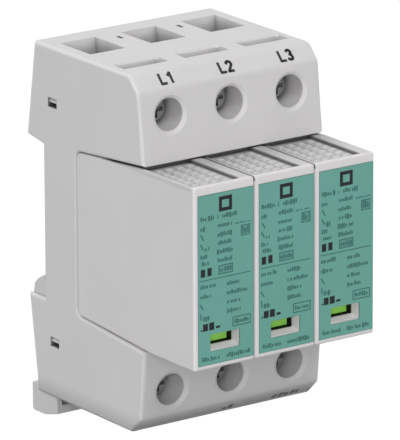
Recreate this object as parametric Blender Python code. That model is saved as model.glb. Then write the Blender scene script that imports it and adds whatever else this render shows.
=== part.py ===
"""Three pole plug-in surge protection device for a 35 mm mounting rail.

The frame is X to the right, the front faces -Y and +Z is up.
The origin is the middle of the face that rests on the rail.
Sizes below are in millimetres. A profile point is (depth, height):
depth runs from the rear top edge to the front, height from the bottom edge.
"""
import math

import bmesh
import bpy

MM = 0.001

# Driving sizes
POLES = 3
PITCH = 18.0
HEIGHT = 90.0
SEAT_DEPTH = 3.8
RAIL_WIDTH = 35.0
RAIL_TOP = 64.4
POCKET_DEPTH = 18.0
POCKET_DRAFT = 2.4
TERMINAL_TALL = 21.7
FACE_DEPTH = 46.6
FRONT_DEPTH = 67.2
GAP = 0.3

# Housing details
EDGE_ROUND = 0.8
POCKET_ROUND = 2.0
FACE_LEAN = 1.7
HOOK_REACH = 3.25
HOOK_DROP = 1.2
HOOK_INSET = 5.0
REAR_CLEAR = 5.0
LEDGE_DROP = 4.5
TOP_CHAMFER = 5.7

# Terminals
AXIS_INSET = 10.3
BORE_R = 4.05
BORE_RIM = 1.1
HEAD_R = 3.0
HEAD_LENGTH = 3.6
SHANK_R = 2.35
SHOULDER_DEPTH = 35.3
CAGE_TRAVEL = 7.0
CAGE_WALL = 1.6
CAGE_FRONT_WALL = 3.6
CAGE_SIDE_WALL = 1.2
CAGE_HEIGHT = 8.0
WIRE_BACK = 9.6
STRIP_REAR = 17.5
STRIP_THICK = 2.0
STRIP_HALF_WIDTH = 3.0
FUNNEL_HALF = 5.2
FUNNEL_DEPTHS = (6.4, 19.4)
CHAMBER_ROOF = 1.3
FUNNEL_DEEP_HALF = 4.2
BLOCK_FLOOR = 1.2
STRIP_DROP = 4.0
SLOT_INSET = 5.3
SLOT_LONG = 4.7
SLOT_HALF = 6.5
SLOT_DEEP = 2.2
PIT_WIDE = 0.9
PIT_LONG = 2.4
PIT_DEEP = 1.3
PIT_DEPTH = 9.0
WINDOW_WIDE = 3.8
WINDOW_TALL = 2.4
WINDOW_INSET = 15.3

# Plug contacts
BLADE_HALF = 0.5
BLADE_HEIGHT = 6.3
BLADE_MARGIN = 4.0
BLADE_TIP_GAP = 0.6
LEAF_THICK = 0.8
CLIP_BACK = 9.0

# Plug-in module
MODULE_GAP = 0.4
SIDE_WALL = 1.3
CAP_WALL = 2.0
FRONT_WALL = 2.5
COVER_THICK = 1.6
LABEL_THICK = 0.25
LABEL_LEFT = 1.25
LABEL_TOP = 2.4
LABEL_BOTTOM = 1.2
BUMP_WIDTH = 3.03
BUMP_LENGTH = 3.0
BUMP_DEEP = 0.8
BUMP_TIP = 0.06
BUMP_FLAT = 0.17
GRIP_LEFT = 0.4
GRIP_FRONT = 0.8
GRIP_CLEAR = 1.5
GRIP_BAR = 4.0
GRIP_UNDER = 1.2
GRIP_END = 1.25
VARISTOR_SETBACK = 6.5
VARISTOR_MARGIN = 6.2
VARISTOR_CLEAR = 6.2
VARISTOR_FACE = 2.1
TAB_LENGTH = 16.5
ARM_SETBACK = 5.5
ARM_WIDE = 6.0
ARM_THICK = 0.8
ARM_TALL = 5.0
ARM_BEND = 4.0
ARM_RISE = 3.0
ARM_DROP = 8.0
FLAG_TRAVEL = 4.5
FLAG_LOW = 5.55
FLAG_TALL = 7.6
FLAG_THICK = 1.2
FRAME_THICK = 0.9
FRAME_DEEP = 3.1
FRAME_LEFT_INSET = 1.2
FRAME_RIGHT_INSET = 2.2
RAIL_LEFT = 1.0
RAIL_RIGHT = 1.4

# Rail latch
LATCH_HALF = 4.5
LATCH_NECK_HALF = 3.3
LATCH_INSET = 1.2
LATCH_TRAVEL = 4.0
LATCH_DROP = 6.0
LATCH_REAR = 1.6
FOOT_REAR = 3.6
FOOT_FRONT = 7.2
FOOT_HEEL = 1.4
PRY_HALF = 3.0
PRY_REAR = 4.4
PEG_CLEAR = 2.0
PEG_TALL = 3.4
PEG_HALF = 1.3
SPRING_HEADROOM = 2.0
SPRING_R = 1.05
SPRING_WIRE = 0.22
SPRING_LEAD = 2.0

MID = HEIGHT / 2
POCKET_HALF_FRONT = MID - TERMINAL_TALL
POCKET_HALF_REAR = POCKET_HALF_FRONT - POCKET_DRAFT
WIDTH = PITCH * POLES
RAIL_MID = RAIL_TOP - RAIL_WIDTH / 2
RAIL_LOW = RAIL_TOP - RAIL_WIDTH
FOOT_LEDGE = RAIL_LOW - LEDGE_DROP
TOP_FRONT = FACE_DEPTH - TOP_CHAMFER
SLOT_REAR = TOP_FRONT - SLOT_INSET - SLOT_LONG
AXIS_HEIGHT = HEIGHT - AXIS_INSET
CEILING = AXIS_HEIGHT + CAGE_HEIGHT / 2 + CHAMBER_ROOF
FLOOR = AXIS_HEIGHT - CAGE_HEIGHT / 2 - BLOCK_FLOOR
CAGE_HALF = STRIP_HALF_WIDTH + 2 * GAP + CAGE_SIDE_WALL
STRIP_FRONT = STRIP_REAR + STRIP_THICK
CAGE_FRONT = STRIP_FRONT + 1.4
CHAMBER_FRONT = CAGE_FRONT + CAGE_FRONT_WALL + CAGE_TRAVEL + 2 * GAP
CHAMBER_REAR = WIRE_BACK - CAGE_WALL - 2 * GAP
MODULE_HALF = (PITCH - MODULE_GAP) / 2
MODULE_TALL = POCKET_HALF_FRONT - GAP
INNER_HALF = MODULE_HALF - SIDE_WALL
INNER_FRONT = FRONT_DEPTH - FRONT_WALL
BLADE_OFFSET = POCKET_HALF_REAR - BLADE_MARGIN - BLADE_HEIGHT
BLADE_TIP = CLIP_BACK + STRIP_THICK + BLADE_TIP_GAP
VARISTOR_REAR = POCKET_DEPTH + VARISTOR_SETBACK
TAB_END = VARISTOR_REAR + TAB_LENGTH
ARM_REAR = VARISTOR_REAR + ARM_SETBACK
PEG_LOW = LATCH_TRAVEL + PEG_CLEAR
PEG_HIGH = PEG_LOW + PEG_TALL
SPRING_TOP = FOOT_LEDGE - SPRING_HEADROOM
FLAG_LEFT = -INNER_HALF + FRAME_LEFT_INSET + RAIL_LEFT + GAP
FLAG_RIGHT = INNER_HALF - FRAME_RIGHT_INSET - RAIL_RIGHT - GAP


def y_of(depth):
    return (SEAT_DEPTH - depth) * MM


def z_of(height):
    return (height - RAIL_MID) * MM


def from_points(name, rings):
    """Join rings of equal length into one closed body."""
    mesh = bpy.data.meshes.new(name)
    bm = bmesh.new()
    loops = []
    for ring in rings:
        loops.append([bm.verts.new(point) for point in ring])
    for low, high in zip(loops, loops[1:]):
        count = len(low)
        for i in range(count):
            j = (i + 1) % count
            bm.faces.new((low[i], low[j], high[j], high[i]))
    bm.faces.new(list(reversed(loops[0])))
    bm.faces.new(loops[-1])
    bmesh.ops.recalc_face_normals(bm, faces=bm.faces)
    bm.to_mesh(mesh)
    bm.free()
    obj = bpy.data.objects.new(name, mesh)
    bpy.context.scene.collection.objects.link(obj)
    return obj


def split_faces(obj):
    bm = bmesh.new()
    bm.from_mesh(obj.data)
    bmesh.ops.triangulate(bm, faces=bm.faces)
    bm.to_mesh(obj.data)
    bm.free()


def side_prism(name, outline, left, right):
    """Extrude a (depth, height) outline between two X positions."""
    rings = []
    for x in (left, right):
        rings.append([(x * MM, y_of(d), z_of(h)) for d, h in outline])
    return from_points(name, rings)


def plan_prism(name, outline, low, high):
    """Extrude an (x, depth) outline between two heights."""
    rings = []
    for h in (low, high):
        rings.append([(x * MM, y_of(d), z_of(h)) for x, d in outline])
    return from_points(name, rings)


def front_prism(name, outline, rear, front):
    """Extrude an (x, height) outline between two depths."""
    rings = []
    for d in (rear, front):
        rings.append([(x * MM, y_of(d), z_of(h)) for x, h in outline])
    return from_points(name, rings)


def block(name, xs, depths, heights):
    d0, d1 = depths
    h0, h1 = heights
    return side_prism(name, [(d0, h0), (d1, h0), (d1, h1), (d0, h1)], xs[0], xs[1])


def turned(name, x, height, stations, steps=40):
    """Revolve (depth, radius) stations about an axis along Y."""
    rings = []
    for d, r in stations:
        ring = []
        for i in range(steps):
            a = 2 * math.pi * i / steps
            ring.append(((x + r * math.cos(a)) * MM, y_of(d), z_of(height) + r * math.sin(a) * MM))
        rings.append(ring)
    return from_points(name, rings)


def rounded(corners, steps=4):
    """Turn (a, b, radius) corners into an outline with rounded corners."""
    points = []
    count = len(corners)
    for i, (a, b, radius) in enumerate(corners):
        if radius == 0:
            points.append((a, b))
            continue
        before = corners[i - 1]
        after = corners[(i + 1) % count]
        u = (before[0] - a, before[1] - b)
        v = (after[0] - a, after[1] - b)
        lu = math.hypot(u[0], u[1])
        lv = math.hypot(v[0], v[1])
        u = (u[0] / lu, u[1] / lu)
        v = (v[0] / lv, v[1] / lv)
        half = math.acos(max(-1.0, min(1.0, u[0] * v[0] + u[1] * v[1]))) / 2
        run = radius / math.tan(half)
        reach = radius / math.sin(half)
        w = (u[0] + v[0], u[1] + v[1])
        lw = math.hypot(w[0], w[1])
        centre = (a + w[0] / lw * reach, b + w[1] / lw * reach)
        start = (a + u[0] * run - centre[0], b + u[1] * run - centre[1])
        end = (a + v[0] * run - centre[0], b + v[1] * run - centre[1])
        first = math.atan2(start[1], start[0])
        sweep = math.atan2(end[1], end[0]) - first
        sweep = (sweep + math.pi) % (2 * math.pi) - math.pi
        for k in range(steps + 1):
            angle = first + sweep * k / steps
            points.append((centre[0] + radius * math.cos(angle), centre[1] + radius * math.sin(angle)))
    return points


def flip(outline, upper):
    """Mirror (depth, height) points to the lower end where upper is False."""
    if upper:
        return outline
    return [(d, HEIGHT - h) for d, h in outline]


def spans(low, high, upper):
    if upper:
        return (low, high)
    return (HEIGHT - high, HEIGHT - low)


def boolean(target, tool, operation):
    tool.hide_render = True
    tool.display_type = 'WIRE'
    modifier = target.modifiers.new(tool.name, 'BOOLEAN')
    modifier.operation = operation
    modifier.solver = 'EXACT'
    modifier.object = tool
    return modifier


def cut(target, tool):
    boolean(target, tool, 'DIFFERENCE')


def add(target, tool):
    boolean(target, tool, 'UNION')


def round_edges(obj, width, steps, pick):
    """Bevel the edges whose two end points pick a weight above zero."""
    bm = bmesh.new()
    bm.from_mesh(obj.data)
    layer = bm.edges.layers.float.new('bevel_weight_edge')
    for edge in bm.edges:
        edge[layer] = pick(edge.verts[0].co, edge.verts[1].co)
    bm.to_mesh(obj.data)
    bm.free()
    modifier = obj.modifiers.new('edges', 'BEVEL')
    modifier.width = width * MM
    modifier.segments = steps
    modifier.limit_method = 'WEIGHT'
    modifier.use_clamp_overlap = False
    modifier.harden_normals = False


def set_origin(obj, point):
    for vertex in obj.data.vertices:
        vertex.co.x -= point[0]
        vertex.co.y -= point[1]
        vertex.co.z -= point[2]
    obj.location = point


def make_material(name, colour, roughness, metallic=0.0):
    material = bpy.data.materials.new(name)
    material.use_nodes = True
    shader = material.node_tree.nodes['Principled BSDF']
    shader.inputs['Base Color'].default_value = (colour[0], colour[1], colour[2], 1.0)
    shader.inputs['Roughness'].default_value = roughness
    shader.inputs['Metallic'].default_value = metallic
    return material


def dress(obj, material):
    obj.data.materials.clear()
    obj.data.materials.append(material)


def pocket_half(depth, inset=0.0):
    """Half height of the module pocket at a depth."""
    part = (depth - POCKET_DEPTH) / (FACE_DEPTH - POCKET_DEPTH)
    return POCKET_HALF_REAR + (POCKET_HALF_FRONT - POCKET_HALF_REAR) * part - inset


def face_depth(height):
    """Depth of the leaning terminal face at a height of the upper block."""
    low = MID + POCKET_HALF_FRONT
    return FACE_DEPTH - FACE_LEAN * (height - low) / (HEIGHT - 4.9 - low)


def base_outline():
    top = MID + POCKET_HALF_FRONT
    low = MID - POCKET_HALF_FRONT
    return rounded([
        (0.4, HEIGHT, 0),
        (TOP_FRONT, HEIGHT, 2.6),
        (FACE_DEPTH - FACE_LEAN - 0.3, HEIGHT - 3.9, 2.2),
        (FACE_DEPTH, top, 0),
        (POCKET_DEPTH, MID + POCKET_HALF_REAR, POCKET_ROUND),
        (POCKET_DEPTH, MID - POCKET_HALF_REAR, POCKET_ROUND),
        (FACE_DEPTH, low, 0),
        (FACE_DEPTH - FACE_LEAN - 0.1, 3.8, 1.2),
        (FACE_DEPTH - FACE_LEAN - 4.0, 0.0, 1.2),
        (0.3, 0.0, 0),
        (0.1, 3.2, 0),
        (-3.1, FOOT_LEDGE, 0),
        (SEAT_DEPTH, FOOT_LEDGE, 0),
        (SEAT_DEPTH, RAIL_TOP, 0),
        (-HOOK_REACH, RAIL_TOP + HOOK_DROP, 0),
    ])


def make_base(material):
    half = WIDTH / 2
    base = side_prism('base_housing', base_outline(), -half, half)

    def on_side(a, b):
        same_side = abs(a.x - b.x) < 1e-7
        return 1.0 if same_side else 0.0

    round_edges(base, EDGE_ROUND, 3, on_side)
    lip = [(2.5, RAIL_TOP + 0.4), (2.5, RAIL_TOP - 1.5), (1.6, RAIL_TOP - 1.8),
           (-0.8, RAIL_TOP + 0.2), (-0.8, RAIL_TOP + 3.0), (2.5, RAIL_TOP + 3.0)]
    add(base, side_prism('hook_lip', lip, -half + HOOK_INSET, half - HOOK_INSET))
    for pole in range(POLES):
        x = (pole - (POLES - 1) / 2) * PITCH
        for upper in (True, False):
            cut_terminal(base, x, upper, pole)
        cut_top_slot(base, x, pole)
    for seam in range(1, POLES):
        x = (seam - POLES / 2) * PITCH + PIT_WIDE
        cut(base, block('top_pit_%d' % seam, (x - PIT_WIDE / 2, x + PIT_WIDE / 2),
                        (PIT_DEPTH, PIT_DEPTH + PIT_LONG), (HEIGHT - PIT_DEEP, HEIGHT + 1)))
    for side in (-1, 1):
        cut_side_window(base, side * half, side, True)
        cut_side_window(base, side * half, side, False)
        cut_latch_way(base, side)
    dress(base, material)
    return base


def cut_terminal(base, x, upper, pole):
    tag = '%s_%d' % ('top' if upper else 'low', pole + 1)
    axis = AXIS_HEIGHT if upper else AXIS_INSET
    side = CAGE_HALF + 2 * GAP
    cut(base, block('chamber_' + tag, (x - side, x + side), (CHAMBER_REAR, CHAMBER_FRONT),
                    spans(FLOOR, CEILING + 0.02, upper)))
    mouth = (FUNNEL_DEPTHS[0], FUNNEL_DEPTHS[1])
    neck = (CHAMBER_REAR + 0.6, STRIP_REAR + 0.6)
    rings = []
    for h, wide, deep in ((CEILING - 0.5, FUNNEL_DEEP_HALF, neck), (CEILING, FUNNEL_DEEP_HALF, neck),
                          (HEIGHT, FUNNEL_HALF, mouth), (HEIGHT + 1.0, FUNNEL_HALF, mouth)):
        z = h if upper else HEIGHT - h
        rings.append([((x + sx * wide) * MM, y_of(d), z_of(z))
                      for sx, d in ((-1, deep[0]), (1, deep[0]), (1, deep[1]), (-1, deep[1]))])
    cut(base, from_points('funnel_' + tag, rings))
    shank = SHANK_R + GAP
    cut(base, turned('bore_' + tag, x, axis, [(CHAMBER_FRONT - 0.5, shank), (SHOULDER_DEPTH, shank),
                                              (SHOULDER_DEPTH, BORE_R), (FACE_DEPTH + 3, BORE_R)]))
    rim_depth = face_depth(AXIS_HEIGHT)
    rim = turned('rim_' + tag, x, axis, [(rim_depth - 0.75, BORE_R - 0.05), (rim_depth, BORE_R + BORE_RIM),
                                         (rim_depth + 1.0, BORE_R + BORE_RIM + 1.4)])
    lean = math.atan2(FACE_LEAN, HEIGHT - 4.9 - MID - POCKET_HALF_FRONT)
    set_origin(rim, (x * MM, y_of(rim_depth), z_of(axis)))
    rim.rotation_euler = (-lean if upper else lean, 0, 0)
    cut(base, rim)
    strip_side = STRIP_HALF_WIDTH + GAP
    foot = FLOOR - STRIP_DROP
    cut(base, block('strip_way_' + tag, (x - strip_side, x + strip_side),
                    (CLIP_BACK - GAP, STRIP_FRONT + GAP), spans(foot, FLOOR + 0.5, upper)))
    clip_low = MID + BLADE_OFFSET - 1.1
    clip_high = MID + BLADE_OFFSET + BLADE_HEIGHT + 1.1
    cut(base, block('strip_drop_' + tag, (x - strip_side, x + strip_side),
                    (CLIP_BACK - GAP, CLIP_BACK + STRIP_THICK + GAP),
                    spans(clip_high - 0.5, foot + 0.5, upper)))
    cut(base, block('clip_room_' + tag, (x - strip_side - 0.6, x + strip_side + 0.6),
                    (CLIP_BACK - GAP, POCKET_DEPTH + 1), spans(clip_low, clip_high, upper)))


def cut_top_slot(base, x, pole):
    """Marking slot with a steep rear wall, eased where it meets the top."""
    front = SLOT_REAR + SLOT_LONG
    rings = []
    foot = SLOT_HALF - 0.6
    for run, deep in ((-SLOT_HALF, 0.0), (-foot, SLOT_DEEP), (foot, SLOT_DEEP), (SLOT_HALF, 0.0)):
        profile = [(SLOT_REAR - 0.6, HEIGHT + 0.1), (SLOT_REAR, HEIGHT - 0.15 * deep - 0.05),
                   (SLOT_REAR + 0.9, HEIGHT - deep - 0.1), (front, HEIGHT - deep - 0.1),
                   (front, HEIGHT + 2), (SLOT_REAR - 0.6, HEIGHT + 2)]
        rings.append([((x + run) * MM, y_of(d), z_of(h)) for d, h in profile])
    slot = from_points('top_slot_%d' % (pole + 1), rings)
    split_faces(slot)
    cut(base, slot)


def cut_side_window(base, edge, side, upper):
    """Catch pocket in a side wall, undercut in its lower half."""
    low = HEIGHT - WINDOW_INSET if upper else WINDOW_INSET - 2.0
    lip = low + WINDOW_TALL / 2
    high = low + WINDOW_TALL
    outline = [(edge + side, high), (edge - side * 0.9, high), (edge - side * 0.3, lip),
               (edge - side * 2.6, lip), (edge - side * 2.6, low), (edge + side, low)]
    name = 'side_window_%s_%s' % ('left' if side < 0 else 'right', 'top' if upper else 'low')
    cut(base, front_prism(name, outline, SEAT_DEPTH + 2.5, SEAT_DEPTH + 2.5 + WINDOW_WIDE))


def latch_x(side):
    return side * (WIDTH / 2 - LATCH_INSET - LATCH_HALF)


def cut_latch_way(base, side):
    tag = 'left' if side < 0 else 'right'
    x = latch_x(side)
    wide = LATCH_HALF + GAP
    neck = LATCH_NECK_HALF + GAP
    front = SEAT_DEPTH + GAP
    open_low = FOOT_LEDGE - LATCH_TRAVEL - 1.5
    rear = LATCH_REAR - GAP
    cut(base, block('latch_wide_' + tag, (x - wide, x + wide), (rear, front), (-1, open_low + 0.5)))
    cut(base, block('latch_neck_' + tag, (x - neck, x + neck), (-REAR_CLEAR, rear + 0.2),
                    (-1, open_low + 0.5)))
    cut(base, block('latch_open_' + tag, (x - wide, x + wide), (-REAR_CLEAR, front),
                    (open_low, RAIL_LOW + 2)))
    add(base, block('latch_peg_' + tag, (x - PEG_HALF, x + PEG_HALF), (LATCH_REAR + GAP, front + 0.5),
                    (PEG_LOW, PEG_HIGH)))


def make_latch(side, material):
    tag = 'left' if side < 0 else 'right'
    x = latch_x(side)
    latch = block('latch_' + tag, (x - LATCH_HALF, x + LATCH_HALF), (LATCH_REAR, SEAT_DEPTH),
                  (-2.0, RAIL_LOW - GAP))
    nose = [(1.0, FOOT_LEDGE - 0.8), (-2.6, FOOT_LEDGE - 0.8), (-2.1, RAIL_LOW - 2.0), (-0.5, RAIL_LOW - 0.6),
            (2.0, RAIL_LOW + 0.9), (2.4, RAIL_LOW + 0.7), (2.4, RAIL_LOW - 1.5), (1.9, RAIL_LOW - 2.5),
            (1.9, FOOT_LEDGE - 0.8)]
    add(latch, side_prism('latch_nose_' + tag, nose, x - LATCH_HALF, x + LATCH_HALF))
    neck = [(1.9, -1.0), (0.7, -1.0), (0.7, 2.0), (-2.2, FOOT_LEDGE - 0.6), (-2.2, FOOT_LEDGE + 1.5),
            (1.9, FOOT_LEDGE + 1.5)]
    add(latch, side_prism('latch_web_' + tag, neck, x - LATCH_NECK_HALF, x + LATCH_NECK_HALF))
    foot = [(-FOOT_REAR, 1.2), (-0.15, 1.2), (-0.15, -GAP), (FOOT_FRONT, -GAP),
            (FOOT_FRONT, FOOT_HEEL - LATCH_DROP), (1.8, -LATCH_DROP), (0.4 - FOOT_REAR, -LATCH_DROP),
            (-FOOT_REAR, 0.4 - LATCH_DROP)]
    add(latch, side_prism('latch_foot_' + tag, foot, x - LATCH_HALF, x + LATCH_HALF))
    slot = PEG_HALF + 0.4
    cut(latch, block('latch_window_' + tag, (x - slot, x + slot), (0.2, SEAT_DEPTH + 1),
                     (PEG_LOW - LATCH_TRAVEL - 0.4, SPRING_TOP)))
    cut(latch, block('latch_pry_' + tag, (x - PRY_HALF, x + PRY_HALF), (PRY_REAR, FOOT_FRONT + 1),
                     (-2.5, -0.9)))
    set_origin(latch, (x * MM, y_of(SEAT_DEPTH), z_of(0)))
    dress(latch, material)
    return latch


def make_latch_spring(side, material):
    """Coil between the housing peg and the top of the latch window."""
    tag = 'left' if side < 0 else 'right'
    x = latch_x(side)
    low = PEG_HIGH + GAP
    high = SPRING_TOP - GAP
    run = high - low - 2 * SPRING_WIRE
    turns = 1 + int(run / SPRING_LEAD)
    steps = turns * 12
    curve = bpy.data.curves.new('latch_spring_' + tag, 'CURVE')
    curve.dimensions = '3D'
    curve.bevel_depth = SPRING_WIRE * MM
    curve.bevel_resolution = 1
    curve.use_fill_caps = True
    line = curve.splines.new('POLY')
    line.points.add(steps)
    middle = (LATCH_REAR + SEAT_DEPTH) / 2 - 0.4
    for i in range(steps + 1):
        a = 2 * math.pi * turns * i / steps
        h = low + SPRING_WIRE + run * i / steps
        place = (x + SPRING_R * math.cos(a), middle + SPRING_R * math.sin(a))
        line.points[i].co = (place[0] * MM, y_of(place[1]), z_of(h), 1.0)
    spring = bpy.data.objects.new('latch_spring_' + tag, curve)
    bpy.context.scene.collection.objects.link(spring)
    dress(spring, material)
    return spring


def make_strip(x, pole, upper, material):
    tag = '%s_%d' % ('top' if upper else 'low', pole + 1)
    foot = FLOOR - STRIP_DROP + GAP
    head = CEILING - 0.7
    clip_low = MID + BLADE_OFFSET - 0.8
    clip_high = MID + BLADE_OFFSET + BLADE_HEIGHT + 0.8
    outline = [(STRIP_REAR, head), (STRIP_FRONT, head), (STRIP_FRONT, foot),
               (CLIP_BACK + STRIP_THICK, foot), (CLIP_BACK + STRIP_THICK, clip_low), (CLIP_BACK, clip_low),
               (CLIP_BACK, foot + STRIP_THICK), (STRIP_REAR, foot + STRIP_THICK)]
    strip = side_prism('contact_strip_' + tag, flip(outline, upper), x - STRIP_HALF_WIDTH,
                       x + STRIP_HALF_WIDTH)
    rear = CLIP_BACK + STRIP_THICK - 0.5
    narrow = BLADE_HALF + GAP
    knee = rear + (POCKET_DEPTH - rear) * 0.56
    for side in (-1, 1):
        outer = STRIP_HALF_WIDTH * side
        leaf = [(x + outer, rear), (x + outer, rear + 1.0), (x + side * (narrow + LEAF_THICK), knee),
                (x + side * (narrow + LEAF_THICK + 1.0), POCKET_DEPTH - 0.8),
                (x + side * (narrow + 1.2), POCKET_DEPTH - 0.6), (x + side * narrow, knee + 0.2),
                (x + outer - side * LEAF_THICK, rear + 1.0), (x + outer - side * LEAF_THICK, rear)]
        low, high = spans(clip_low, clip_high, upper)
        add(strip, plan_prism('leaf_%s_%s' % ('a' if side < 0 else 'b', tag), leaf, low, high))
    dress(strip, material)
    return strip


def make_cage(x, pole, upper, material):
    tag = '%s_%d' % ('top' if upper else 'low', pole + 1)
    axis = AXIS_HEIGHT if upper else AXIS_INSET
    heights = (axis - CAGE_HEIGHT / 2, axis + CAGE_HEIGHT / 2)
    rear = WIRE_BACK - CAGE_WALL
    front = CAGE_FRONT + CAGE_FRONT_WALL
    cage = block('clamp_cage_' + tag, (x - CAGE_HALF, x + CAGE_HALF), (rear, front), heights)
    inner = CAGE_HALF - CAGE_SIDE_WALL
    cut(cage, block('cage_way_' + tag, (x - inner, x + inner), (WIRE_BACK, CAGE_FRONT),
                    (heights[0] - 1, heights[1] + 1)))
    hole = SHANK_R + GAP
    cut(cage, turned('cage_hole_' + tag, x, axis, [(CAGE_FRONT - 1, hole), (front + 1, hole)], 24))
    set_origin(cage, (x * MM, y_of(front), z_of(axis)))
    dress(cage, material)
    return cage


def make_screw(x, pole, upper, material):
    tag = '%s_%d' % ('top' if upper else 'low', pole + 1)
    axis = AXIS_HEIGHT if upper else AXIS_INSET
    under = SHOULDER_DEPTH + GAP
    top = under + HEAD_LENGTH
    tip = STRIP_FRONT + GAP
    screw = turned('terminal_screw_' + tag, x, axis, [
        (tip, SHANK_R - 0.5), (tip + 0.6, SHANK_R), (under, SHANK_R), (under, HEAD_R - 0.2),
        (under + 0.2, HEAD_R), (top - 0.35, HEAD_R), (top, HEAD_R - 0.35)], 32)
    long = HEAD_R * 0.7
    for name, wide, tall in (('across', long, 0.55), ('upright', 0.55, long)):
        cut(screw, block('recess_%s_%s' % (name, tag), (x - wide, x + wide), (top - 1.7, top + 1),
                         (axis - tall, axis + tall)))
    set_origin(screw, (x * MM, y_of(under), z_of(axis)))
    dress(screw, material)
    return screw


def module_outline():
    rear = POCKET_DEPTH + GAP
    corner = POCKET_ROUND - GAP
    half = pocket_half(rear) - GAP
    return rounded([
        (rear, MID + half, corner),
        (FACE_DEPTH + 0.4, MID + MODULE_TALL, 0),
        (FRONT_DEPTH, MID + MODULE_TALL, 0),
        (FRONT_DEPTH, MID - MODULE_TALL, 0),
        (FACE_DEPTH + 0.4, MID - MODULE_TALL, 0),
        (rear, MID - half, corner),
    ])


def grip_lines(first, count, length):
    """Lines across a row of bumps, each with True where the bumps stand at full height."""
    lines = []
    for i in range(count):
        c = first + (i + 0.5) * length
        lines += [(c - length / 2, False), (c - length * BUMP_FLAT, True), (c + length * BUMP_FLAT, True)]
    lines.append((first + count * length, False))
    return lines


def grip_tool(name, x, upper):
    """Tool whose face leaves rows of small pyramids in a sunken field."""
    left = x - MODULE_HALF + GRIP_LEFT
    start = left + GAP
    columns = int((2 * MODULE_HALF - GRIP_LEFT - GAP - GRIP_BAR) / BUMP_WIDTH)
    end = start + columns * BUMP_WIDTH + GRIP_END
    front = FRONT_DEPTH - GRIP_FRONT
    rows = int((front - FACE_DEPTH - GRIP_CLEAR) / BUMP_LENGTH)
    xs = [(left, False)] + grip_lines(start, columns, BUMP_WIDTH) + [(end, False)]
    ds = [(FACE_DEPTH - GRIP_UNDER, False)] + grip_lines(front - rows * BUMP_LENGTH, rows, BUMP_LENGTH)
    sign = 1 if upper else -1
    bm = bmesh.new()
    grid = []
    for px, high_x in xs:
        column = []
        for d, high_d in ds:
            peak = high_x and high_d
            level = MODULE_TALL - (BUMP_TIP if peak else BUMP_DEEP)
            column.append((bm.verts.new((px * MM, y_of(d), z_of(MID + sign * level))), peak))
        grid.append(column)
    for i in range(len(xs) - 1):
        for j in range(len(ds) - 1):
            cell = [grid[i][j], grid[i + 1][j], grid[i + 1][j + 1], grid[i][j + 1]]
            peaks = [k for k in range(4) if cell[k][1]]
            v = [item[0] for item in cell]
            if len(peaks) == 1:
                k = peaks[0]
                bm.faces.new((v[k], v[(k + 1) % 4], v[(k + 2) % 4]))
                bm.faces.new((v[k], v[(k + 2) % 4], v[(k + 3) % 4]))
            else:
                bm.faces.new(v)
    edge = []
    edge += [grid[i][0][0] for i in range(len(xs))]
    edge += [grid[-1][j][0] for j in range(1, len(ds))]
    edge += [grid[i][-1][0] for i in range(len(xs) - 2, -1, -1)]
    edge += [grid[0][j][0] for j in range(len(ds) - 2, 0, -1)]
    outer = z_of(MID + sign * (MODULE_TALL + 1.0))
    lid = [bm.verts.new((v.co.x, v.co.y, outer)) for v in edge]
    for i in range(len(edge)):
        j = (i + 1) % len(edge)
        bm.faces.new((edge[i], edge[j], lid[j], lid[i]))
    bm.faces.new(lid)
    bmesh.ops.recalc_face_normals(bm, faces=bm.faces)
    mesh = bpy.data.meshes.new(name)
    bm.to_mesh(mesh)
    bm.free()
    obj = bpy.data.objects.new(name, mesh)
    bpy.context.scene.collection.objects.link(obj)
    return obj


def window_rings(x, grow):
    """Mouth and throat of the status window as (x, height) corners."""
    low = MID - MODULE_TALL
    left = x + FLAG_LEFT + 1.35 - grow
    right = x + FLAG_RIGHT + 0.35 + grow
    high = low + FLAG_LOW + 3.15 + grow
    mouth = (left - 0.4, right + 0.75, low + FLAG_LOW - 1.15 - grow, high)
    throat = (left, right, low + FLAG_LOW - 0.15 - grow, high)
    return mouth, throat


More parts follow.
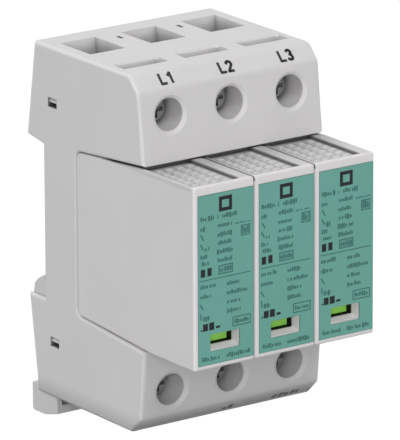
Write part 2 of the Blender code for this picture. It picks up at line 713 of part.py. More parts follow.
def make_shell(x, number, material):
    shell = side_prism('module_%d_shell' % number, module_outline(), x - MODULE_HALF, x + MODULE_HALF)
    front = y_of(FRONT_DEPTH)
    rear = y_of(FACE_DEPTH)
    right = (x + MODULE_HALF) * MM
    top = z_of(MID + MODULE_TALL)
    low = z_of(MID - MODULE_TALL)

    def weight(a, b):
        along = abs(a.x - b.x) < 1e-7 and abs(a.z - b.z) < 1e-7
        at_end = abs(a.z - top) < 1e-6 or abs(a.z - low) < 1e-6
        if along and at_end and a.y < rear and b.y < rear:
            return 0.5
        if abs(a.y - front) < 1e-6 and abs(b.y - front) < 1e-6:
            on_right = abs(a.x - right) < 1e-6 and abs(b.x - right) < 1e-6
            return 0.15 if on_right else 0.6
        slanted = abs(a.x - b.x) < 1e-7 and max(a.y, b.y) > rear and abs(a.y - b.y) > 0.005
        return 1.0 if slanted and abs(a.z - b.z) > 1e-6 else 0.0

    round_edges(shell, 1.0, 3, weight)
    room = [(POCKET_DEPTH - 1, MID + pocket_half(POCKET_DEPTH + GAP) - GAP - CAP_WALL),
            (POCKET_DEPTH + GAP, MID + pocket_half(POCKET_DEPTH + GAP) - GAP - CAP_WALL),
            (FACE_DEPTH, MID + MODULE_TALL - CAP_WALL), (INNER_FRONT, MID + MODULE_TALL - CAP_WALL)]
    room += [(d, HEIGHT - h) for d, h in reversed(room)]
    cut(shell, side_prism('room_%d' % number, room, x - INNER_HALF, x + INNER_HALF))
    for upper in (True, False):
        cut(shell, grip_tool('grip_%s_%d' % ('top' if upper else 'low', number), x, upper))
    recess = LABEL_THICK + GAP
    left = x - MODULE_HALF + LABEL_LEFT - 0.1
    cut(shell, block('label_seat_%d' % number, (left, x + MODULE_HALF + 1),
                     (FRONT_DEPTH - recess, FRONT_DEPTH + 1),
                     (MID - MODULE_TALL + LABEL_BOTTOM - 0.1, MID + MODULE_TALL - LABEL_TOP + 0.1)))
    mouth, throat = window_rings(x, 0.0)
    rings = []
    for d, edge in ((INNER_FRONT - 0.5, throat), (INNER_FRONT, throat), (FRONT_DEPTH, mouth),
                    (FRONT_DEPTH + 1, mouth)):
        rings.append([(a * MM, y_of(d), z_of(b)) for a, b in
                      ((edge[0], edge[2]), (edge[1], edge[2]), (edge[1], edge[3]), (edge[0], edge[3]))])
    cut(shell, from_points('window_%d' % number, rings))
    dress(shell, material)
    return shell


def make_cover(x, number, material):
    half = pocket_half(POCKET_DEPTH + GAP) - GAP - CAP_WALL - GAP
    wide = INNER_HALF - GAP
    cover = block('module_%d_back' % number, (x - wide, x + wide),
                  (POCKET_DEPTH + GAP, POCKET_DEPTH + GAP + COVER_THICK), (MID - half, MID + half))
    for upper in (True, False):
        slot = spans(MID + BLADE_OFFSET - GAP, MID + BLADE_OFFSET + BLADE_HEIGHT + GAP, upper)
        cut(cover, block('blade_slot_%s_%d' % ('top' if upper else 'low', number),
                         (x - BLADE_HALF - GAP, x + BLADE_HALF + GAP),
                         (POCKET_DEPTH - 1, POCKET_DEPTH + GAP + COVER_THICK + 1), slot))
    dress(cover, material)
    return cover


def make_label(x, number, material):
    left = x - MODULE_HALF + LABEL_LEFT
    right = x + MODULE_HALF - 0.1
    low = MID - MODULE_TALL + LABEL_BOTTOM
    high = MID + MODULE_TALL - LABEL_TOP
    label = block('module_%d_label' % number, (left, right), (FRONT_DEPTH - LABEL_THICK, FRONT_DEPTH),
                  (low, high))
    mouth = window_rings(x, 0.0)[0]
    cut(label, block('label_hole_%d' % number, (mouth[0], mouth[1]), (FRONT_DEPTH - 2, FRONT_DEPTH + 1),
                     (mouth[2], mouth[3])))
    dress(label, material)
    return label


def make_varistor(x, number, material):
    right = x + VARISTOR_FACE - GAP
    left = x - INNER_HALF + 2 * GAP + LEAF_THICK
    half = MODULE_TALL - VARISTOR_MARGIN
    front = INNER_FRONT - VARISTOR_CLEAR
    corners = rounded([(VARISTOR_REAR, MID - half, 2.5), (front, MID - half, 2.5), (front, MID + half, 2.5),
                       (VARISTOR_REAR, MID + half, 2.5)], 5)
    varistor = side_prism('module_%d_varistor' % number, corners, left, right)
    round_edges(varistor, 0.7, 2, lambda a, b: 1.0 if abs(a.x - b.x) < 1e-7 else 0.0)
    dress(varistor, material)
    return varistor


def make_blade(x, number, upper, material):
    """Plug blade with a cranked tab on one face of the varistor."""
    tag = 'top' if upper else 'low'
    bend = POCKET_DEPTH + GAP + COVER_THICK + GAP
    thick = LEAF_THICK
    if upper:
        side, near, far = 1, VARISTOR_FACE, VARISTOR_FACE + thick
    else:
        side, near, far = -1, -INNER_HALF + GAP + thick, -INNER_HALF + GAP
    outline = [(-side * BLADE_HALF, BLADE_TIP), (side * BLADE_HALF, BLADE_TIP), (side * BLADE_HALF, bend),
               (far, bend), (far, TAB_END), (near, TAB_END), (near, bend + thick),
               (-side * BLADE_HALF, bend + thick)]
    low, high = spans(MID + BLADE_OFFSET, MID + BLADE_OFFSET + BLADE_HEIGHT, upper)
    blade = plan_prism('module_%d_blade_%s' % (number, tag), [(x + a, d) for a, d in outline], low, high)
    dress(blade, material)
    return blade


def make_disconnector(x, number, material):
    """Bronze arm from the upper tab down to the flag's height."""
    near = x + VARISTOR_FACE + LEAF_THICK + GAP
    high = MID + MODULE_TALL - VARISTOR_MARGIN - 0.5
    front = INNER_FRONT - VARISTOR_CLEAR - 1.0
    knee = (front + ARM_REAR) / 2
    outline = [(ARM_REAR, high), (knee - ARM_BEND, high), (front, MID + ARM_RISE),
               (front, MID - ARM_DROP), (front - ARM_WIDE, MID - ARM_DROP), (front - ARM_WIDE, MID),
               (knee - 2 * ARM_BEND, high - ARM_TALL), (ARM_REAR, high - ARM_TALL)]
    arm = side_prism('module_%d_disconnector' % number, outline, near, near + ARM_THICK)
    dress(arm, material)
    return arm


def make_frame(x, number, material):
    """Dark frame behind the status window that guides the flag."""
    front = INNER_FRONT - GAP
    back = front - FRAME_THICK
    deep = (back - FRAME_DEEP, back + 0.3)
    left = x - INNER_HALF + FRAME_LEFT_INSET
    right = x + INNER_HALF - FRAME_RIGHT_INSET
    low = MID - MODULE_TALL + CAP_WALL + GAP
    high = low + FLAG_LOW - CAP_WALL + FLAG_TALL + FLAG_TRAVEL
    frame = block('module_%d_frame' % number, (left, right), (back, front), (low, high))
    add(frame, block('rail_left_%d' % number, (left, left + RAIL_LEFT), deep, (low, high)))
    add(frame, block('rail_right_%d' % number, (right - RAIL_RIGHT, right), deep, (low, high)))
    add(frame, block('stop_%d' % number, (left + RAIL_LEFT / 2, right - RAIL_RIGHT / 2), deep,
                     (low, low + FLAG_LOW - CAP_WALL - 2 * GAP)))
    throat = window_rings(x, 0.1)[1]
    cut(frame, block('frame_hole_%d' % number, (throat[0], throat[1]), (back - 0.05, front + 1),
                     (throat[2], throat[3])))
    dress(frame, material)
    return frame


def make_flag(x, number, material):
    front = INNER_FRONT - GAP - FRAME_THICK - GAP
    low = MID - MODULE_TALL + FLAG_LOW
    flag = block('module_%d_flag' % number, (x + FLAG_LEFT, x + FLAG_RIGHT), (front - FLAG_THICK, front),
                 (low, low + FLAG_TALL))
    set_origin(flag, (x * MM, y_of(front), z_of(low)))
    dress(flag, material)
    return flag


def make_backing(x, number, material):
    front = INNER_FRONT - GAP - FRAME_THICK - GAP - FLAG_THICK - GAP
    low = MID - MODULE_TALL + FLAG_LOW
    backing = block('module_%d_backing' % number, (x + FLAG_LEFT, x + FLAG_RIGHT), (front - 1.0, front),
                    (low, low + FLAG_TALL))
    dress(backing, material)
    return backing


def build():
    for obj in list(bpy.data.objects):
        bpy.data.objects.remove(obj)
    housing = make_material('housing_plastic', (0.66, 0.65, 0.64), 0.5)
    module = make_material('module_plastic', (0.70, 0.69, 0.69), 0.48)
    label = make_material('label_film', (0.12, 0.34, 0.29), 0.45)
    steel = make_material('zinc_steel', (0.55, 0.55, 0.53), 0.35, 1.0)
    copper = make_material('tinned_copper', (0.62, 0.58, 0.53), 0.3, 1.0)
    coating = make_material('varistor_coating', (0.05, 0.12, 0.32), 0.55)
    bronze = make_material('spring_bronze', (0.62, 0.42, 0.20), 0.35, 1.0)
    dark = make_material('dark_plastic', (0.01, 0.01, 0.01), 0.6)
    green = make_material('flag_green', (0.15, 0.45, 0.05), 0.45)
    red = make_material('backing_red', (0.55, 0.03, 0.02), 0.5)
    latch = make_material('latch_plastic', (0.56, 0.55, 0.54), 0.55)
    make_base(housing)
    for side in (-1, 1):
        make_latch(side, latch)
        make_latch_spring(side, steel)
    for pole in range(POLES):
        x = (pole - (POLES - 1) / 2) * PITCH
        for upper in (True, False):
            make_strip(x, pole, upper, copper)
            make_cage(x, pole, upper, steel)
            make_screw(x, pole, upper, steel)
        number = pole + 1
        make_shell(x, number, module)
        make_cover(x, number, module)
        make_label(x, number, label)
        make_varistor(x, number, coating)
        make_blade(x, number, True, copper)
        make_blade(x, number, False, copper)
        make_disconnector(x, number, bronze)
        make_frame(x, number, dark)
        make_flag(x, number, green)
        make_backing(x, number, red)


build()
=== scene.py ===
"""Looks of the rail-mounted surge protection barrier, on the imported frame.

Depths are millimetres forward from the base's rear top edge, and heights are millimetres up from its
bottom edge. Both become the frame's metres through y_of and z_of.
"""
import math

import bmesh
import bpy
from mathutils import Matrix, Vector


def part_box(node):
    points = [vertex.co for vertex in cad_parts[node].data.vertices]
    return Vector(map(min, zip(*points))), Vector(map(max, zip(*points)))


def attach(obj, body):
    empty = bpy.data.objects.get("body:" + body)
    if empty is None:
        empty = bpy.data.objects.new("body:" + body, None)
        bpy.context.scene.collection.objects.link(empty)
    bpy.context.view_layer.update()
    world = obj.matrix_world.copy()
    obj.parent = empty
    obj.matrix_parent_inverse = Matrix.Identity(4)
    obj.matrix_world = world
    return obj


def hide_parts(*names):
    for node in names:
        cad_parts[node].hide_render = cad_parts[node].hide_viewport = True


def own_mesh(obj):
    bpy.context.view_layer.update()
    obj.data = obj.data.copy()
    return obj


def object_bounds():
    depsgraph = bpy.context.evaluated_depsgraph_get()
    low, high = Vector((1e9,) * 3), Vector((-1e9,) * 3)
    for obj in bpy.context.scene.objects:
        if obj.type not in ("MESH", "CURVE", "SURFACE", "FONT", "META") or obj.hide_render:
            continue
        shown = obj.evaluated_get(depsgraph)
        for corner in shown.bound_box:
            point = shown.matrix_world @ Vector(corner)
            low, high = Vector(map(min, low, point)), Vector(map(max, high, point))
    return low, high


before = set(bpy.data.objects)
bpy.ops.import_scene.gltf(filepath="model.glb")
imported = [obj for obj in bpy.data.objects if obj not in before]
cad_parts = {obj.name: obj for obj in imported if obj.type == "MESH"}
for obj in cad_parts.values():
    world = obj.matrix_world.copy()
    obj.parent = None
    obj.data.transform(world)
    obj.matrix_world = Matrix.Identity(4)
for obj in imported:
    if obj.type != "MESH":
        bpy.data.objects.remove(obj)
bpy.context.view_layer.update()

MM = 0.001
MODULES = (1, 2, 3)
PITCH = 18.0
SEAT_DEPTH = 3.8
ORIGIN_HEIGHT = 46.9
LABEL_DEPTH = 67.2

# The camera as fitted to the photo: degrees, the millimetre point that it looks at, metres and lens.
CAMERA_AZIMUTH = -35.547
CAMERA_ELEVATION = 16.497
CAMERA_ROLL = -0.234
CAMERA_TARGET = (1.6337, -26.2, -0.6008)
CAMERA_DISTANCE = 1.51218
CAMERA_LENS = 504.31
SENSOR_WIDTH = 36.0
CLIP_RANGE = (0.1, 20.0)

# Each lamp's azimuth, elevation and watts. All stand at one distance and have one size.
LAMPS = {
    "front_high": (0.0, 50.0, 4.5),
    "front_low": (0.0, 5.0, 1.9),
    "camera_side": (-35.0, 15.0, 4.65),
    "side_left": (-90.0, 2.0, 3.7),
    "side_high": (-90.0, 45.0, 2.9),
    "rear_high": (180.0, 60.0, 5.6),
    "rear_fill": (180.0, 5.0, 3.2),
    "right_fill": (90.0, 5.0, 3.2),
}
LAMP_DISTANCE = 1.3
LAMP_SIZE = 0.5
AMBIENT = 0.1

FLOOR_HALF = 1.6
FLOOR_DROP = 0.0003
FLOOR_TONE = 0.3
FLOOR_ROUGH = 0.9
FLOOR_GLOW = 1.12
SHADOW = 0.1

OPAQUE = 1.0
PURE_WHITE = (1.0, 1.0, 1.0, OPAQUE)
# The modules' front rim colour, paler than the shell: painted light on their front faces.
RIM_PAINTED_LIGHT = (0.87, 0.845, 0.855, OPAQUE)
# The module tops behind the rim are multiplied darker by this: painted shade.
GRIP_PAINTED_SHADE = (0.87, 0.87, 0.87, OPAQUE)

# Painted shade in hollows: how far a recess looks for walls, in metres, the open share at which it
# is darkest and at which it is clear, and the share of its colour that it keeps when darkest.
SLOT_SHADE = {"reach": 0.012, "closed": 0.1, "clear": 0.65, "dim": 0.3}
FUNNEL_SHADE = {"reach": 0.012, "closed": 0.15, "clear": 0.7, "dim": 0.5}
BORE_SHADE = {"reach": 0.005, "closed": 0.1, "clear": 0.9, "dim": 0.55}
FOOT_SHADE = {"reach": 0.03, "closed": 0.3, "clear": 0.9, "dim": 0.35}
GROOVE_SHADE = {"reach": 0.0012, "closed": 0.5, "clear": 0.9, "dim": 0.3}
BROW_SHADE = {"reach": 0.02, "closed": 0.3, "clear": 0.9, "dim": 0.38}

# Where each painted shade, and the painted light of the rim, starts and is full, as depths or heights. The
# ends are metres from the origin.
SLOT_DEPTHS = (35.2, 34.2)
FUNNEL_DEPTHS = (24.0, 23.0)
BORE_DEPTHS = (43.5, 38.0)
RIM_DEPTHS = (66.6, 67.1)
BEHIND_RIM_DEPTHS = (66.3, 65.8)
FOOT_HEIGHTS = (1.5, 5.0)
GRIP_HEIGHTS = (66.4, 66.8)
BASE_ENDS = (0.0255, 0.0275)
LOWER_BORE_SHARE = 0.3

TINT_THICK = 0.008
PRINT_THICK = 0.015
LEGEND_THICK = 0.02

# Rows of a label as (left, right, middle height), from the module's middle.
LABEL_ROWS = (
    (-6.84, -2.8, 59.8), (-1.9, -1.6, 59.7), (-0.46, 3.95, 59.75), (-1.75, 2.47, 57.55),
    (-6.85, -5.2, 57.35), (-1.84, 2.47, 55.25), (-1.74, 2.36, 53.15), (-5.6, -4.3, 52.2),
    (-2.07, 2.66, 51.0), (-6.9, -4.9, 50.4), (-1.86, 2.45, 48.85), (-6.5, -3.86, 48.7),
    (-1.2, 2.3, 46.4), (-7.03, -2.3, 42.95), (0.87, 4.75, 42.7), (-7.04, -3.55, 40.5),
    (0.87, 7.15, 40.35), (0.87, 4.93, 38.1), (0.87, 4.92, 35.8), (-6.2, -4.3, 34.9),
    (3.1, 7.3, 32.75), (-6.5, -1.1, 24.7), (0.8, 7.8, 24.7),
)
# Boxes of a label as (left, right, low, high, line width).
LABEL_BOXES = ((5.0, 7.8, 53.8, 56.5, 0.25), (-1.6, 2.7, 45.25, 47.6, 0.3), (2.5, 7.85, 31.5, 34.0, 0.3))
LABEL_RULE = (-7.2, 7.9, 44.35, 44.6)
LABEL_SLANTS = (
    [(-6.7, 55.9), (-5.9, 54.5)], [(-6.8, 53.5), (-6.1, 52.3)],
    [(-7.0, 38.6), (-6.1, 37.3)], [(-6.9, 36.2), (-6.7, 34.8)],
)
SLANT_WIDE = 0.4
LABEL_TINTS = ((-1.45, 2.55, 45.4, 47.45), (5.15, 7.65, 53.95, 56.35))
LABEL_RING = (-1.4, 2.45, 60.9, 64.6, 0.9)
LABEL_MARKS = (
    (-6.8, -5.5, 45.35, 47.3), (-4.85, -3.6, 45.4, 47.4), (-6.2, -4.75, 31.8, 33.6),
    (-4.4, -2.9, 31.8, 33.7), (-2.4, -1.2, 32.0, 32.6), (-6.85, -6.4, 31.9, 32.35),
)

# Each terminal sign's left edge from its pole's middle, and the step from its letter to its number.
LEGEND_PLACES = {1: (-1.0, 2.5), 2: (-1.4, 2.25), 3: (-1.45, 2.25)}
LEGEND_LOW = 0.72
LEGEND_TALL = 2.7
LEGEND_WIDE = 0.74
UPPER_CHAMFER = ((41.67, 89.19), (44.09, 86.64))
LOWER_CHAMFER = ((44.2, 3.215), (41.5, 0.585))
LOWER_MARKS = (
    (-0.6, 0.5, 0.5, 1.5), (0.9, 2.3, 0.5, 2.4), (14.3, 15.7, 0.4, 2.2), (16.2, 17.4, 0.5, 2.6),
    (17.8, 19.3, 0.5, 2.2), (19.8, 20.9, 0.6, 2.6), (21.3, 22.3, 0.7, 2.3),
)

SPRING_WIRE = 0.22
SPRING_TURNS = 7


def y_of(depth):
    return (SEAT_DEPTH - depth) * MM


def z_of(height):
    return (height - ORIGIN_HEIGHT) * MM


def direction(azimuth, elevation):
    """From the object towards a viewer, with azimuth 0 in front and angles in degrees."""
    a = math.radians(azimuth)
    e = math.radians(elevation)
    return Vector((math.sin(a) * math.cos(e), -math.cos(a) * math.cos(e), math.sin(e)))


def place_in_scene(name, data):
    obj = bpy.data.objects.new(name, data)
    bpy.context.scene.collection.objects.link(obj)
    return obj


# Camera, light and surroundings

def make_camera():
    roll = math.radians(CAMERA_ROLL)
    azimuth = math.radians(CAMERA_AZIMUTH)
    back = direction(CAMERA_AZIMUTH, CAMERA_ELEVATION)
    right = Vector((math.cos(azimuth), math.sin(azimuth), 0.0))
    up = back.cross(right)
    across = right * math.cos(roll) + up * math.sin(roll)
    upright = up * math.cos(roll) - right * math.sin(roll)
    turn = Matrix((across, upright, back)).transposed().to_4x4()
    camera = place_in_scene("camera", bpy.data.cameras.new("camera"))
    camera.matrix_world = Matrix.Translation(Vector(CAMERA_TARGET) * MM + back * CAMERA_DISTANCE) @ turn
    camera.data.lens = CAMERA_LENS
    camera.data.sensor_width = SENSOR_WIDTH
    camera.data.clip_start, camera.data.clip_end = CLIP_RANGE
    bpy.context.scene.camera = camera


def add_lamps():
    for name, (azimuth, elevation, watts) in LAMPS.items():
        light = bpy.data.lights.new(name, "AREA")
        light.shape = "SQUARE"
        light.size = LAMP_SIZE
        light.energy = watts
        lamp = place_in_scene(name, light)
        back = direction(azimuth, elevation)
        lamp.location = back * LAMP_DISTANCE
        lamp.rotation_mode = "QUATERNION"
        lamp.rotation_quaternion = back.to_track_quat("Z", "Y")


def math_node(tree, operation, *values):
    node = tree.nodes.new("ShaderNodeMath")
    node.operation = operation
    for value, socket in zip(values, node.inputs):
        tree.links.new(value, socket)
    return node.outputs["Value"]


def seen_rays(tree):
    """One for camera, glossy and transmission rays, and zero for the rays that only light things."""
    path = tree.nodes.new("ShaderNodeLightPath").outputs
    seen = path["Is Camera Ray"]
    for name in ("Is Glossy Ray", "Is Transmission Ray"):
        seen = math_node(tree, "MAXIMUM", seen, path[name])
    return seen


def background(tree, strength):
    node = tree.nodes.new("ShaderNodeBackground")
    node.inputs["Color"].default_value = PURE_WHITE
    node.inputs["Strength"].default_value = strength
    return node.outputs["Background"]


def make_world():
    """Soft light all round, and plain white where the world is seen."""
    world = bpy.data.worlds.new("studio")
    bpy.context.scene.world = world
    world.use_nodes = True
    tree = world.node_tree
    tree.nodes.clear()
    mix = tree.nodes.new("ShaderNodeMixShader")
    out = tree.nodes.new("ShaderNodeOutputWorld")
    tree.links.new(seen_rays(tree), mix.inputs["Fac"])
    tree.links.new(background(tree, AMBIENT), mix.inputs[1])
    tree.links.new(background(tree, 1.0), mix.inputs[2])
    tree.links.new(mix.outputs["Shader"], out.inputs["Surface"])


def make_floor():
    """A pale floor that lights the object dimly and shows as white with the object's soft shadow."""
    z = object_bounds()[0].z - FLOOR_DROP
    corners = [(-FLOOR_HALF, -FLOOR_HALF, z), (FLOOR_HALF, -FLOOR_HALF, z),
               (FLOOR_HALF, FLOOR_HALF, z), (-FLOOR_HALF, FLOOR_HALF, z)]
    mesh = bpy.data.meshes.new("floor")
    mesh.from_pydata(corners, [], [(0, 1, 2, 3)])
    floor = place_in_scene("floor", mesh)
    material = bpy.data.materials.new("floor_paper")
    material.use_nodes = True
    tree = material.node_tree
    paper = tree.nodes["Principled BSDF"]
    paper.inputs["Base Color"].default_value = (FLOOR_TONE, FLOOR_TONE, FLOOR_TONE, OPAQUE)
    paper.inputs["Roughness"].default_value = FLOOR_ROUGH
    glow = tree.nodes.new("ShaderNodeEmission")
    glow.inputs["Strength"].default_value = FLOOR_GLOW
    pale = tree.nodes.new("ShaderNodeMixShader")
    pale.inputs["Fac"].default_value = 1.0 - SHADOW
    tree.links.new(paper.outputs["BSDF"], pale.inputs[1])
    tree.links.new(glow.outputs["Emission"], pale.inputs[2])
    mix = tree.nodes.new("ShaderNodeMixShader")
    tree.links.new(seen_rays(tree), mix.inputs["Fac"])
    tree.links.new(paper.outputs["BSDF"], mix.inputs[1])
    tree.links.new(pale.outputs["Shader"], mix.inputs[2])
    tree.links.new(mix.outputs["Shader"], tree.nodes["Material Output"].inputs["Surface"])
    mesh.materials.append(material)


# Materials

def noise_of(tree, coords, scale, detail):
    node = tree.nodes.new("ShaderNodeTexNoise")
    node.inputs["Scale"].default_value = scale
    node.inputs["Detail"].default_value = detail
    tree.links.new(coords, node.inputs["Vector"])
    return node.outputs["Fac"]


def between(tree, value, start, end, at_start, at_end):
    """The value's place between start and end, as a number from at_start to at_end."""
    node = tree.nodes.new("ShaderNodeMapRange")
    node.inputs["From Min"].default_value = start
    node.inputs["From Max"].default_value = end
    node.inputs["To Min"].default_value = at_start
    node.inputs["To Max"].default_value = at_end
    tree.links.new(value, node.inputs["Value"])
    return node.outputs["Result"]


def mix_paint(tree, factor, first, second, blend="MIX"):
    """Two colours mixed or multiplied, where each input is a node's output or a plain value."""
    mix = tree.nodes.new("ShaderNodeMix")
    mix.data_type = "RGBA"
    mix.blend_type = blend
    for name, value in (("Factor", factor), ("A", first), ("B", second)):
        if isinstance(value, bpy.types.NodeSocket):
            tree.links.new(value, mix.inputs[name])
        else:
            mix.inputs[name].default_value = value
    return mix.outputs["Result"]


def paint_recess_shade(tree, paint, mask, reach, closed, clear, dim):
    """Painted shade: the same colour, darker where the mask is set and walls within reach stand close
    round.
    """
    open_sky = tree.nodes.new("ShaderNodeAmbientOcclusion")
    open_sky.samples = 8
    open_sky.inputs["Distance"].default_value = reach
    kept = between(tree, open_sky.outputs["AO"], closed, clear, dim, 1.0)
    return mix_paint(tree, mask, paint, kept, "MULTIPLY")


def axis_of(tree, coords, axis):
    parts = tree.nodes.new("ShaderNodeSeparateXYZ")
    tree.links.new(coords, parts.inputs["Vector"])
    return parts.outputs[axis]


def along_depth(tree, coords, depths):
    """Zero at the first depth and one at the second."""
    start, end = (y_of(depth) for depth in depths)
    value = axis_of(tree, coords, "Y")
    if start < end:
        return between(tree, value, start, end, 0.0, 1.0)
    return between(tree, value, end, start, 1.0, 0.0)


def shade(name, colour, rough, tone=0.02, grain=1500.0, deep=0.00001, metal=0.0, blotch=55.0, stretch=None,
          soften=0.0, detail=None, gloss=0.5):
    """A surface with soft colour drift, grain and uneven gloss, softened edges if asked, and painted shade
    and light from detail if given.

    Tone is the colour drift's share, grain and blotch are noise scales, and deep and soften are metres.
    """
    material = bpy.data.materials.new(name)
    material.use_nodes = True
    tree = material.node_tree
    shader = tree.nodes["Principled BSDF"]
    shader.inputs["Metallic"].default_value = metal
    shader.inputs["Specular IOR Level"].default_value = gloss
    place = tree.nodes.new("ShaderNodeTexCoord").outputs["Object"]
    coords = place
    if stretch:
        mapping = tree.nodes.new("ShaderNodeMapping")
        mapping.inputs["Scale"].default_value = stretch
        tree.links.new(place, mapping.inputs["Vector"])
        coords = mapping.outputs["Vector"]
    broad = noise_of(tree, coords, blotch, 3.0)
    fine = noise_of(tree, coords, grain, 2.0)
    darker = (*[c * (1.0 - tone) for c in colour], OPAQUE)
    lighter = (*[min(1.0, c * (1.0 + tone)) for c in colour], OPAQUE)
    paint = mix_paint(tree, between(tree, broad, 0.35, 0.65, 0.0, 1.0), darker, lighter)
    if detail:
        paint = detail(tree, paint, place)
    tree.links.new(paint, shader.inputs["Base Color"])
    tree.links.new(between(tree, fine, 0.3, 0.7, rough - 0.06, rough + 0.06), shader.inputs["Roughness"])
    bump = tree.nodes.new("ShaderNodeBump")
    bump.inputs["Strength"].default_value = 0.6
    bump.inputs["Distance"].default_value = deep
    tree.links.new(fine, bump.inputs["Height"])
    if soften:
        edge = tree.nodes.new("ShaderNodeBevel")
        edge.samples = 6
        edge.inputs["Radius"].default_value = soften
        tree.links.new(edge.outputs["Normal"], bump.inputs["Normal"])
    tree.links.new(bump.outputs["Normal"], shader.inputs["Normal"])
    return material


def base_painted_shade(tree, paint, place):
    """Painted shade: slots, funnels and screw bores darkened in their hollows, and the base darkened close
    to the floor.
    """
    height = axis_of(tree, place, "Z")
    ends = between(tree, math_node(tree, "ABSOLUTE", height), *BASE_ENDS, 0.0, 1.0)
    slots = math_node(tree, "MULTIPLY", ends, along_depth(tree, place, SLOT_DEPTHS))
    paint = paint_recess_shade(tree, paint, slots, **SLOT_SHADE)
    funnels = math_node(tree, "MULTIPLY", ends, along_depth(tree, place, FUNNEL_DEPTHS))
    paint = paint_recess_shade(tree, paint, funnels, **FUNNEL_SHADE)
    upper = between(tree, height, *BASE_ENDS, LOWER_BORE_SHARE, 1.0)
    bores = math_node(tree, "MULTIPLY", upper, along_depth(tree, place, BORE_DEPTHS))
    paint = paint_recess_shade(tree, paint, bores, **BORE_SHADE)
    low, high = (z_of(foot) for foot in FOOT_HEIGHTS)
    return paint_recess_shade(tree, paint, between(tree, height, low, high, 1.0, 0.0), **FOOT_SHADE)


def shell_painted_light_and_shade(tree, paint, place):
    """Painted light and shade: a paler front rim, darker grips with painted shade in their grooves, and
    painted shade under the base's brow.
    """
    paint = mix_paint(tree, along_depth(tree, place, RIM_DEPTHS), paint, RIM_PAINTED_LIGHT)
    low, high = (z_of(grip) for grip in GRIP_HEIGHTS)
    on_top = between(tree, axis_of(tree, place, "Z"), low, high, 0.0, 1.0)
    behind_rim = math_node(tree, "MULTIPLY", on_top, along_depth(tree, place, BEHIND_RIM_DEPTHS))
    paint = mix_paint(tree, behind_rim, paint, GRIP_PAINTED_SHADE, "MULTIPLY")
    paint = paint_recess_shade(tree, paint, on_top, **GROOVE_SHADE)
    return paint_recess_shade(tree, paint, on_top, **BROW_SHADE)


# Plates, strokes and print

def finished(name, bm):
    """The bmesh as an object in the scene, with its faces turned outwards."""
    bmesh.ops.recalc_face_normals(bm, faces=bm.faces)
    mesh = bpy.data.meshes.new(name)
    bm.to_mesh(mesh)
    bm.free()
    return place_in_scene(name, mesh)


def plate_mesh(name, outlines, origin, across, upward, normal, thick):
    """Thin raised plates from flat outlines in millimetres on a plane."""
    bm = bmesh.new()
    for outline in outlines:
        low = []
        high = []
        for u, v in outline:
            point = origin + across * (u * MM) + upward * (v * MM)
            low.append(bm.verts.new(point - normal * thick * MM))
            high.append(bm.verts.new(point + normal * thick * MM))
        bm.faces.new(high)
        bm.faces.new(list(reversed(low)))
        for i in range(len(outline)):
            j = (i + 1) % len(outline)
            bm.faces.new((low[i], low[j], high[j], high[i]))
    return finished(name, bm)


def bar(left, right, low, high):
    return [(left, low), (right, low), (right, high), (left, high)]


def box_lines(left, right, low, high, wide):
    return [bar(left, right, low, low + wide), bar(left, right, high - wide, high),
            bar(left, left + wide, low + wide, high - wide),
            bar(right - wide, right, low + wide, high - wide)]


def stroke(points, wide):
    """Quads along a polyline, a little longer than its parts so that the corners close."""
    quads = []
    for (x0, y0), (x1, y1) in zip(points, points[1:]):
        length = math.hypot(x1 - x0, y1 - y0)
        ux, uy = (x1 - x0) / length, (y1 - y0) / length
        nx, ny = -uy * wide / 2, ux * wide / 2
        grow = wide * 0.3
        x0, y0, x1, y1 = x0 - ux * grow, y0 - uy * grow, x1 + ux * grow, y1 + uy * grow
        quads.append([(x0 - nx, y0 - ny), (x1 - nx, y1 - ny), (x1 + nx, y1 + ny), (x0 + nx, y0 + ny)])
    return quads


def arc(cx, cy, rx, ry, first, last, steps=8):
    """Points on an ellipse from the first angle to the last, in degrees."""
    angles = [math.radians(first + (last - first) * i / steps) for i in range(steps + 1)]
    return [(cx + rx * math.cos(a), cy + ry * math.sin(a)) for a in angles]


def glyph(sign, x, y, tall):
    """The plain sign L, 1, 2 or 3 as a polyline."""
    w = tall * 0.5
    if sign == "L":
        return [(x, y + tall), (x, y), (x + w, y)]
    if sign == "1":
        return [(x, y + tall * 0.76), (x + w * 0.5, y + tall), (x + w * 0.5, y)]
    if sign == "2":
        top = arc(x + w * 0.5, y + tall * 0.74, w * 0.5, tall * 0.26, 165, -35)
        return top + [(x, y), (x + w, y)]
    upper = arc(x + w * 0.48, y + tall * 0.76, w * 0.44, tall * 0.24, 150, -75)
    lower = arc(x + w * 0.48, y + tall * 0.27, w * 0.5, tall * 0.27, 80, -150)
    return upper + lower


def words(left, right, middle, seed, tall=1.15):
    """Solid blocks in a row, like print too small to read, from a small seeded number series."""
    state = seed * 7919 + 13
    x = left
    blocks = []
    while x < right - 0.2:
        state = (state * 1103515245 + 12345) % 2 ** 31
        wide = 0.34 + 0.42 * ((state >> 8) % 100) / 100
        kind = (state >> 16) % 7
        end = min(x + wide, right)
        low = middle - tall * (0.62 if kind == 0 else 0.42)
        high = middle + tall * (0.5 if kind < 3 else 0.22)
        blocks.append(bar(x, end, low, high))
        x = end + (0.42 if kind == 6 else 0.13)
    return blocks


def label_shapes(number):
    """Small print and lines of one label. Each module's rows have other blocks."""
    seed = 40 * number
    shapes = []
    for row, (left, right, middle) in enumerate(LABEL_ROWS):
        shapes += words(left, right, middle, seed + row)
    shapes += words(3.4, 7.9, 57.2, seed + 30, 0.4)
    shapes += words(5.4, 7.4, 55.2, seed + 31, 2.0)
    for box in LABEL_BOXES:
        shapes += box_lines(*box)
    shapes.append(bar(*LABEL_RULE))
    for points in LABEL_SLANTS:
        shapes += stroke(points, SLANT_WIDE)
    return shapes


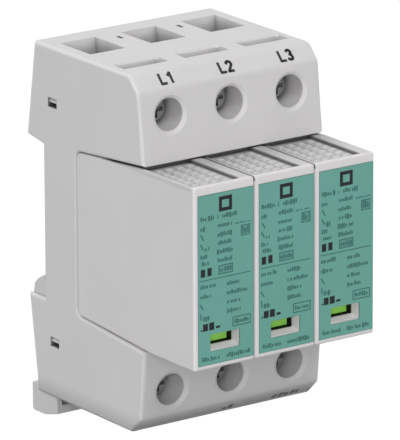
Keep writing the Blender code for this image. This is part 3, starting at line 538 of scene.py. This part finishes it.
def add_print():
    """Tinted fields, small print and bold marks on each module's label."""
    across = Vector((1, 0, 0))
    upward = Vector((0, 0, 1))
    toward = Vector((0, -1, 0))
    tints = [bar(*field) for field in LABEL_TINTS]
    marks = box_lines(*LABEL_RING) + [bar(*mark) for mark in LABEL_MARKS]
    for number in MODULES:
        origin = Vector(((number - 2) * PITCH * MM, y_of(LABEL_DEPTH), z_of(0)))
        for name, outlines, material, thick in (
                ("label_tint_%d" % number, tints, TINT, TINT_THICK),
                ("label_print_%d" % number, label_shapes(number), INK, PRINT_THICK),
                ("label_marks_%d" % number, marks, DARK_INK, PRINT_THICK)):
            piece = plate_mesh(name, outlines, origin, across, upward, toward, thick)
            piece.data.materials.append(material)
            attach(piece, "module_%d" % number)


def add_plates_on_chamfer(name, outlines, chamfer):
    """Ink on a chamfer that runs between two (depth, height) points, measured up from the second."""
    start, end = (Vector((0, y_of(depth), z_of(height))) for depth, height in chamfer)
    across = Vector((1, 0, 0))
    upward = (start - end).normalized()
    piece = plate_mesh(name, outlines, end, across, upward, across.cross(upward), LEGEND_THICK)
    piece.data.materials.append(LEGEND_INK)
    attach(piece, "base")


def add_legends():
    """Terminal numbers on the upper chamfer and short marks on the lower one."""
    outlines = []
    for number in MODULES:
        start, step = LEGEND_PLACES[number]
        for sign, left in (("L", start), (str(number), start + step)):
            points = glyph(sign, (number - 2) * PITCH + left, LEGEND_LOW, LEGEND_TALL)
            outlines += stroke(points, LEGEND_WIDE)
    add_plates_on_chamfer("legend_top", outlines, UPPER_CHAMFER)
    add_plates_on_chamfer("legend_low", [bar(*mark) for mark in LOWER_MARKS], LOWER_CHAMFER)


# Latch springs

def coil_mesh(name, middle, radius, wire, low, high, turns):
    """A closed round wire wound along Z, in metres."""
    around = 24
    sides = 8
    bm = bmesh.new()
    rings = []
    for i in range(turns * around + 1):
        turn = 2 * math.pi * i / around
        outward = Vector((math.cos(turn), math.sin(turn), 0))
        centre = Vector((middle.x, middle.y, low + (high - low) * i / (turns * around))) + outward * radius
        ring = []
        for k in range(sides):
            b = 2 * math.pi * k / sides
            rim = outward * (wire * math.cos(b)) + Vector((0, 0, wire * math.sin(b)))
            ring.append(bm.verts.new(centre + rim))
        rings.append(ring)
    for lower, upper in zip(rings, rings[1:]):
        for k in range(sides):
            m = (k + 1) % sides
            bm.faces.new((lower[k], lower[m], upper[m], upper[k]))
    bm.faces.new(list(reversed(rings[0])))
    bm.faces.new(rings[-1])
    coil = finished(name, bm)
    coil.data.shade_smooth()
    return coil


def add_springs():
    """Round wire coils in the place of the plain ones, fixed to the base. The real springs shorten as
    their latch is pulled down.
    """
    wire = SPRING_WIRE * MM
    for side in ("left", "right"):
        low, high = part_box("latch_spring_" + side)
        middle = (low + high) / 2
        radius = (high.x - low.x) / 2 - wire
        spring = coil_mesh("spring_coil_" + side, middle, radius, wire, low.z + wire, high.z - wire,
                           SPRING_TURNS)
        spring.data.materials.append(MATERIALS["steel"])
        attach(spring, "base")
        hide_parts("latch_spring_" + side)
        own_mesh(spring)


# The materials and the scene itself

INK = shade("label_ink", (0.056, 0.19, 0.165), 0.5, 0.05, 1800.0, 0.000004, gloss=0.3)
TINT = shade("label_tint", (0.115, 0.335, 0.285), 0.45, 0.04, 1800.0, 0.000004)
LEGEND_INK = shade("legend_ink", (0.045, 0.042, 0.045), 0.5, 0.05, 1800.0, 0.000004, gloss=0.2)
DARK_INK = shade("dark_ink", (0.022, 0.025, 0.027), 0.5, 0.05, 1800.0, 0.000004, gloss=0.15)

MATERIALS = {
    # The base's colour carries painted shade, and the shell's colour painted shade on its top and painted
    # light on its front rim.
    "base": shade("base_plastic", (0.74, 0.725, 0.73), 0.5, 0.012, 1700.0, 0.000012, soften=0.0003,
                  detail=base_painted_shade),
    "latch": shade("latch_plastic_look", (0.71, 0.7, 0.7), 0.5, deep=0.000012, soften=0.0003),
    "shell": shade("module_plastic_look", (0.76, 0.745, 0.75), 0.46, 0.012, 1700.0, soften=0.00025,
                   detail=shell_painted_light_and_shade),
    "label": shade("label_film_look", (0.15, 0.42, 0.355), 0.42, 0.02, 2200.0, 0.000006),
    "steel": shade("zinc_steel_look", (0.46, 0.46, 0.45), 0.36, 0.06, 900.0, 0.000015, metal=1.0),
    "screw": shade("screw_steel_look", (0.3, 0.305, 0.3), 0.34, 0.08, 900.0, 0.000015, metal=1.0),
    "tinned": shade("tinned_copper_look", (0.66, 0.63, 0.58), 0.3, 0.05, 800.0, metal=1.0, blotch=90.0,
                    stretch=(1, 1, 0.08)),
    "coating": shade("varistor_coating_look", (0.05, 0.12, 0.32), 0.45, 0.1, 700.0, 0.00004),
    "bronze": shade("spring_bronze_look", (0.62, 0.42, 0.20), 0.32, 0.06, 800.0, metal=1.0, blotch=90.0,
                    stretch=(1, 0.1, 1)),
    # The indicator frame is a real part; its near-black colour is also painted shade for the dark gap
    # round the flag.
    "dark": shade("dark_frame_and_painted_shade", (0.012, 0.013, 0.012), 0.55, 0.1, gloss=0.25),
    "green": shade("flag_green_look", (0.37, 0.87, 0.12), 0.4, 0.04),
    "red": shade("backing_red_look", (0.6, 0.03, 0.02), 0.45, 0.05),
}
# The first part of a name that fits gives a node its material.
KINDS = (("base_housing", "base"), ("latch_spring", "steel"), ("latch_", "latch"),
         ("terminal_screw", "screw"), ("clamp_cage", "steel"), ("contact_strip", "tinned"),
         ("_shell", "shell"), ("_backing", "red"), ("_back", "shell"), ("_label", "label"),
         ("_varistor", "coating"), ("_blade", "tinned"), ("_disconnector", "bronze"),
         ("_frame", "dark"), ("_flag", "green"))


def dress_nodes():
    for name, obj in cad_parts.items():
        kind = next(k for part, k in KINDS if part in name)
        obj.data.materials.clear()
        obj.data.materials.append(MATERIALS[kind])


dress_nodes()
add_print()
add_legends()
add_springs()
make_camera()
make_world()
make_floor()
add_lamps()

bpy.context.scene.view_settings.view_transform = "Standard"
